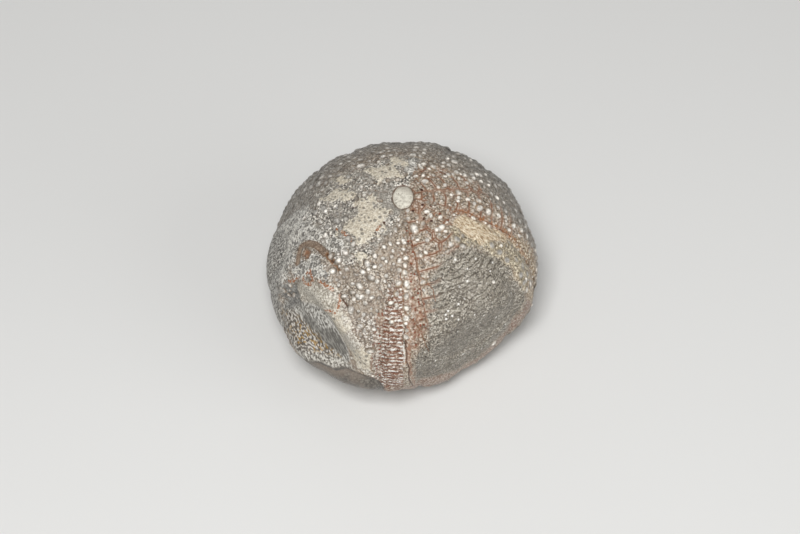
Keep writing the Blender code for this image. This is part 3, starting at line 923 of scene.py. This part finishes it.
plug_form = turned_form(PLUG_PROFILE, 40)
crown, _ = seat_on_shell(0.0, 90.0)
for vert in plug_form.verts:
    wobble = 1.02 + PLUG_WOBBLE * noise.noise(vert.co.normalized() * 2.1)
    east = vert.co.x * PLUG_HALF_WIDTH * wobble
    north = vert.co.y * PLUG_HALF_LENGTH * PLUG_LENGTH_SHARE * wobble
    vert.co = Vector((east, north, vert.co.z * PLUG_HEIGHT)) + crown
plug_mesh = mesh_of("limestone_plug", plug_form)

LIME_SHADE, LIME_LIGHT = (0.44, 0.405, 0.34), (0.68, 0.65, 0.56)
LIME_BACK_SHADE, LIME_PIT = (0.36, 0.325, 0.27), (0.2, 0.165, 0.125)
lime = Finish("limestone_plug_mud", 0.75)
lime_fine = lime.noise(0.5 * MM, 3.0)
# Painted shade: the plug darkens towards its back and right.
lime_back_shade = (lime.side(lime.where, 0) * 0.5 + lime.side(lime.where, 1)).ramp(0.9 * MM, 2.4 * MM)
lime.ground = lime.mix(lime_fine.ramp(0.3, 0.6), LIME_SHADE, LIME_LIGHT)
lime.cover(lime_back_shade * 0.6, LIME_BACK_SHADE)
lime.cover(lime.noise(0.27 * MM, 1.0).ramp(0.38, 0.32) * 0.7, LIME_PIT)
lime.colour(lime.ground)
lime.bump(lime_fine, 0.05 * MM)
plug_mesh.materials.append(lime.material)
plug = placed("limestone_plug", plug_mesh)
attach(plug, "root")


# --------------------------------------------------------------------------------------
# Tubercles. The rounded bosses that carried the spines, in rows on the rays and plates,
# of whitish calcite with a worn, slightly glossy head in a darker ring. All are copies of
# one turned boss, stood on the shell and joined.
# --------------------------------------------------------------------------------------

BOSS_PROFILE = ((1.35, -0.32), (1.06, 0.02), (0.78, 0.26), (0.5, 0.5), (0.24, 0.62), (0.0, 0.65))
BOSS_SIDES = 8
RING_STEP = 5.0
MAIN_COLUMNS = (2.5, 19.75, 26.25)
SPARSE_COLUMNS = (13.25, 32.75)
MAIN_LATITUDES = np.arange(57.5, -62.0, -RING_STEP)
WEAR_SEED = 7

BARE_GROUND = (
    "scar", "lip", "worn", "brow", "edge_band", "scar_rim", "cream", "white", "ridge", "beige", "flank_heart",
)
SEAM_CLEARANCE = 0.22 * MM
GOLDEN_TURN = 137.50776
# The front ray's worn rungs and pores, where no tubercle stands: (left, right, top).
CLEARED = ((-11.0, 1.5, 38.0), (4.6, 13.5, 66.0), (0.0, 14.0, 24.0))
WHITE_HEAD = np.array((0.8, 0.76, 0.69))
GREY_HEAD = np.array((0.38, 0.36, 0.33))


def seam_gap(azimuth, latitude):
    """Distance in metres from each place to the nearest plate seam, for seams that show."""
    from_apex = 90.0 - latitude
    signed = ray_angle(azimuth)
    away = np.abs(signed)
    across = np.sin(np.radians(from_apex)) * AMBITUS_RADIUS * math.pi / 180.0
    half_width = RAY_WIDEST * (1.0 - np.exp(-from_apex / RAY_WIDENS_OVER))
    row = (from_apex - FIRST_PLATE) / PLATE_HEIGHT + np.where(signed > 0.0, 0.0, 0.5)
    from_row = np.abs(row - np.round(row))
    median = ZIGZAG_ANGLE - ZIGZAG + 4.0 * ZIGZAG * from_row
    gap = np.minimum(from_row * PLATE_HEIGHT * DEGREE, np.abs(median - away) * across)
    gap = np.minimum(gap, np.abs(half_width - away) * across)
    return np.where(away > half_width * 0.95, gap, 1.0)


def ground_under(azimuth, latitude):
    """For each place: is it bare of tubercles, and the colours of a tubercle's foot and head there."""
    zones = zones_at(azimuth, latitude)
    zones["flank_heart"] = 0.56 * zones["flank"]
    gone = np.max([zones[name] for name in BARE_GROUND], axis=0)
    bare = (gone > 0.45) | ((zones["rusty"] > 0.5) & (seam_gap(azimuth, latitude) < SEAM_CLEARANCE))
    bare |= distance_to(GROOVE_LINES, crown_map(azimuth, latitude)) < GROOVE_REACH
    foot = np.tile(np.array(TAUPE[0]) * 0.85, (len(bare), 1))
    head = np.tile(WHITE_HEAD, (len(bare), 1))
    for name, foot_colour, head_colour, strength in (
        # the grey patches also dull the tubercles: grey calcite, and painted shade along the far upper rim
        ("grey_and_rim_shade", GREY_AND_RIM_SHADE[0], GREY_HEAD, 0.85),
        ("rusty", RUSTY[0], WHITE_HEAD, 0.85),
        ("flank", FLANK[0], GREY_HEAD, 1.0),
        ("olive", OLIVE[0], GREY_HEAD, 1.0),
        ("beige", BEIGE[0], BEIGE[1], 1.0),
    ):
        share = strength * (zones[name] if name == "grey_and_rim_shade" else smooth_step(zones[name], 0.35, 0.6))[:, None]
        foot += share * (np.array(foot_colour) - foot)
        head += share * (np.array(head_colour) - head)
    return bare, 0.85 * foot, head


def main_places():
    """The rows of main tubercles, along both sides of every ray and field."""
    for ray in range(5):
        for side in (-1.0, 1.0):
            for column in MAIN_COLUMNS:
                for latitude in MAIN_LATITUDES:
                    yield RAY_SPACING * ray + side * column, latitude
            for column in SPARSE_COLUMNS:
                for latitude in MAIN_LATITUDES[6:20:2]:
                    yield RAY_SPACING * ray + side * column, latitude


def near_cell(place, size):
    """The box of a coarse grid that holds a place."""
    return tuple(int(math.floor(side / size)) for side in place)


class Crowd:
    """Places taken so far, sorted into boxes so that neighbours are found quickly."""

    def __init__(self, reach):
        self.reach = reach
        self.boxes = {}

    def add(self, place, radius):
        self.boxes.setdefault(near_cell(place, self.reach), []).append((place, radius))

    def has_room(self, place, radius):
        x, y, z = near_cell(place, self.reach)
        for box in ((x + i, y + j, z + k) for i in (-1, 0, 1) for j in (-1, 0, 1) for k in (-1, 0, 1)):
            for other, other_radius in self.boxes.get(box, ()):
                if (place - other).length < radius + other_radius:
                    return False
        return True


def planted(joined, form, place, slope, radius, height, foot, head):
    """Adds one copy of the form, stood on the shell, with its colours from foot to head."""
    copy = form.copy()
    rises = np.array([vert.co.z for vert in copy.vertices])
    share = smooth_step(rises, 0.05, 0.5)[:, None]
    tones = np.hstack((foot + (head - foot) * share, np.ones((len(rises), 1))))
    copy.attributes["tone"].data.foreach_set("color", tones.ravel().astype(np.float32))
    stand = slope.to_track_quat("Z", "Y").to_matrix().to_4x4()
    spin = Matrix.Rotation(chance.uniform(0.0, math.pi), 4, "Z")
    lean = Matrix.Rotation(chance.uniform(-0.25, 0.25), 4, "X")
    longer = chance.uniform(1.0, 1.5)
    size = Matrix.Diagonal((radius * longer, radius, height, 1.0))
    copy.transform(Matrix.Translation(place) @ stand @ spin @ lean @ size)
    joined.from_mesh(copy)
    bpy.data.meshes.remove(copy)


def form_mesh(name, profile, sides):
    """A small form as a mesh that can take a tone at each point."""
    mesh = mesh_of(name, turned_form(profile, sides))
    mesh.attributes.new("tone", "FLOAT_COLOR", "POINT")
    return mesh


def joined_piece(name, joined, finish):
    """The joined copies as one piece of the fossil."""
    mesh = mesh_of(name, joined)
    mesh.materials.append(finish)
    piece = placed(name, mesh)
    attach(piece, "root")
    return piece


boss = form_mesh("boss", BOSS_PROFILE, BOSS_SIDES)
chance = random.Random(WEAR_SEED)
crowd = Crowd(1.2 * MM)
bosses = bmesh.new()

# Heads that stand out: azimuth, latitude and radius of each in turn, in hundredths of a millimetre.
PROUD_HEADS = (
    -46, 48, 48,  -45, 43, 50,  -49, 50, 30,  -16, 47, 40,  -24, 51, 36,  -23, 39, 42,  17, 71, 62,
    2, 65, 34,  3, 58, 42,  -18, 62, 34,  -23, 57, 40,  -16, 57, 34,  -13, 56, 30,  -20, 42, 40,
    -25, 39, 36,  -13, 64, 32,  1, 66, 34,  -17, 40, 32,  -11, 50, 36,  -9, 61, 28,  -27, 49, 42,
    -88, 53, 36,  -98, 49, 38,  -89, 58, 38,  -69, 50, 34,  -93, 40, 40,  2, 30.5, 32,  -6, 39, 36,
    -5, 31, 34,  147, 62, 55,  157, 63.5, 46,  157, 67, 42,  145, 54, 42,  147, 48, 38,  134, 75, 50,
    146, 72, 30,  155, 75, 34,  130, 55, 50,  129, 58, 36,  130, 60.5, 40,  125, 52.5, 50,  127, 54, 30,
    125, 45, 42,  121, 49, 40,  118, 46, 42,  116, 42, 36,  107, 40, 46,  109, 43, 38,  126, 38, 36,
    140, 35.5, 34,  104, 62, 50,  97, 62.5, 38,  97, 58, 36,  94, 55, 34,  116, 67, 36,  53, 75.5, 40,
    52, 73, 36,  50, 65.5, 52,  50, 63, 34,  27, 64, 40,  17, 65.5, 34,  21, 59, 34,  1, 62, 30,
    15, 81, 32,  72, 17, 38,  54, 32, 34,  88, 29, 40,  87, 35.5, 36,  105, 36.5, 38,  94, 38, 36,
    148, 65, 34,  160, 65.5, 34,  129, 63, 30,  122, 57.5, 34,  116, 55, 34,  74, 38, 32,  44, 66, 40,
    60, 69, 36,  100, 66, 34,  93, 63, 30,
)
for azimuth, latitude, radius in np.reshape(PROUD_HEADS, (-1, 3)):
    place, slope = seat_on_shell(azimuth, latitude)
    radius *= 0.01 * MM
    crowd.add(place, 0.8 * radius)
    foot = ground_under(np.array([azimuth], float), np.array([latitude], float))[1][0]
    planted(bosses, boss, place, slope, radius, 0.95 * radius, foot, WHITE_HEAD)


def sow(joined, form, places, radii, gap, height, paleness):
    """Stands a copy of the form on each place that isn't bare and has room."""
    azimuth, latitude = places
    for index, (bare, foot, head) in enumerate(zip(*ground_under(azimuth, latitude))):
        around, above = azimuth[index], latitude[index]
        if bare or any(left < around < right and above < top for left, right, top in CLEARED):
            continue
        place, slope = seat_on_shell(azimuth[index], latitude[index])
        if place.z > 0.3 * MM and crowd.has_room(place, radii[index] + gap):
            crowd.add(place, radii[index])
            paled = foot + (head - foot) * chance.uniform(*paleness)
            planted(joined, form, place, slope, radii[index], height * radii[index], foot, paled)


def spread_places(number, lowest, jitter, numbers):
    """Evenly spread places from the crown down, each moved a little."""
    share = 1.0 - (1.0 - lowest) * (np.arange(number) + 0.5) / number
    latitude = np.degrees(np.arcsin(share)) + numbers.uniform(-jitter, jitter, number)
    azimuth = np.arange(number) * GOLDEN_TURN + numbers.uniform(-jitter, jitter, number)
    keep = latitude < 79.0
    return (azimuth[keep] + 180.0) % 360.0 - 180.0, latitude[keep]


numbers = np.random.default_rng(WEAR_SEED)
rows = np.array([place for place in main_places() if chance.random() > 0.06]).T
rows = rows + numbers.uniform(-0.7, 0.7, rows.shape)
sow(bosses, boss, rows, numbers.uniform(0.35, 0.54, len(rows[0])) * MM, -0.06 * MM, 0.66, (0.65, 1.1))

# Second tubercles, wherever there is room between the main ones.
seconds = spread_places(5200, -0.82, 0.9, numbers)
sow(bosses, boss, seconds, numbers.uniform(0.18, 0.38, len(seconds[0])) * MM, 0.16 * MM, 0.58, (0.1, 0.95))

head_finish = Finish("tubercle_calcite", 0.36)
tone = head_finish.add("ShaderNodeAttribute", {}, "Color", attribute_name="tone")
head_fine = head_finish.noise(0.45 * MM)
shade = head_finish.combined(*[head_fine.ramp(0.4, 0.6, 0.6, 1.12)] * 3)
head_finish.colour(head_finish.mix(1.0, tone, shade, "MULTIPLY"))
head_finish.bump(head_fine, 0.04 * MM)
joined_piece("tubercles", bosses, head_finish.material)


# --------------------------------------------------------------------------------------
# Granules. The smallest bosses, which fill the ground between the tubercles and make the
# shell feel like coarse sandpaper. Each is a low six-sided bead of the same calcite.
# --------------------------------------------------------------------------------------

BEAD_PROFILE = ((1.0, -0.4), (0.78, 0.3), (0.0, 0.68))
BEAD_SIDES = 6

bead = form_mesh("bead", BEAD_PROFILE, BEAD_SIDES)
beads = bmesh.new()
fines = spread_places(10000, -0.8, 0.9, numbers)
sow(beads, bead, fines, numbers.uniform(0.08, 0.15, len(fines[0])) * MM, 0.06 * MM, 0.5, (-0.2, 0.7))
joined_piece("granules", beads, head_finish.material)
for mesh in (boss, bead):
    bpy.data.meshes.remove(mesh)


# --------------------------------------------------------------------------------------
# The studio: a plain pale floor, a broad soft light above and in front, a weak fill at the
# right, and a weaker light from behind that opens up the far side.
# --------------------------------------------------------------------------------------

FLOOR_HALF = 1.2
sweep = bmesh.new()
bmesh.ops.create_grid(sweep, x_segments=1, y_segments=1, size=FLOOR_HALF)
floor_mesh = mesh_of("floor", sweep)
paper = Finish("pale_paper", 0.7)
paper.shader.inputs["Base Color"].default_value = (0.68, 0.68, 0.67, 1.0)
floor_mesh.materials.append(paper.material)
floor = placed("floor", floor_mesh)


def soft_light(name, place, aim, size, power):
    """A square area light, turned to its aim."""
    data = bpy.data.lights.new(name, "AREA")
    data.size = size
    data.energy = power
    lamp = placed(name, data)
    lamp.location = place
    lamp.rotation_euler = (Vector(aim) - Vector(place)).to_track_quat("-Z", "Y").to_euler()


FOSSIL_MIDDLE = (0.0, 0.0, 0.012)
soft_light("key", (-0.04, -0.25, 0.44), FOSSIL_MIDDLE, 0.16, 2.3)
soft_light("fill", (0.38, -0.2, 0.22), FOSSIL_MIDDLE, 0.35, 0.55)
soft_light("back", (-0.1, 0.45, 0.12), FOSSIL_MIDDLE, 0.3, 0.12)

sky = bpy.data.worlds.new("studio")
sky.use_nodes = True
sky.node_tree.nodes["Background"].inputs["Color"].default_value = (1.0, 0.985, 0.96, 1.0)
sky.node_tree.nodes["Background"].inputs["Strength"].default_value = 0.22
bpy.context.scene.world = sky
bpy.context.scene.view_settings.view_transform = "Standard"

CAMERA_ELEVATION = math.radians(52.5)
CAMERA_DISTANCE = 381.2 * MM
CAMERA_LENS = 117.0
AIM_LEFT = 0.235 * MM
AIM_UP = 0.733 * MM
camera_data = bpy.data.cameras.new("camera")
camera_data.lens = CAMERA_LENS
camera_data.sensor_width = 36.0
camera_data.clip_start = 0.01
camera_data.clip_end = 10.0
camera = placed("camera", camera_data)
back = Vector((0.0, -math.cos(CAMERA_ELEVATION), math.sin(CAMERA_ELEVATION)))
up = Vector((0.0, math.sin(CAMERA_ELEVATION), math.cos(CAMERA_ELEVATION)))
aim = Vector((0.0, 0.0, AMBITUS_HEIGHT)) + up * AIM_UP - Vector((AIM_LEFT, 0.0, 0.0))
camera.location = aim + back * CAMERA_DISTANCE
camera.rotation_euler = (-back).to_track_quat("-Z", "Y").to_euler()
bpy.context.scene.camera = camera
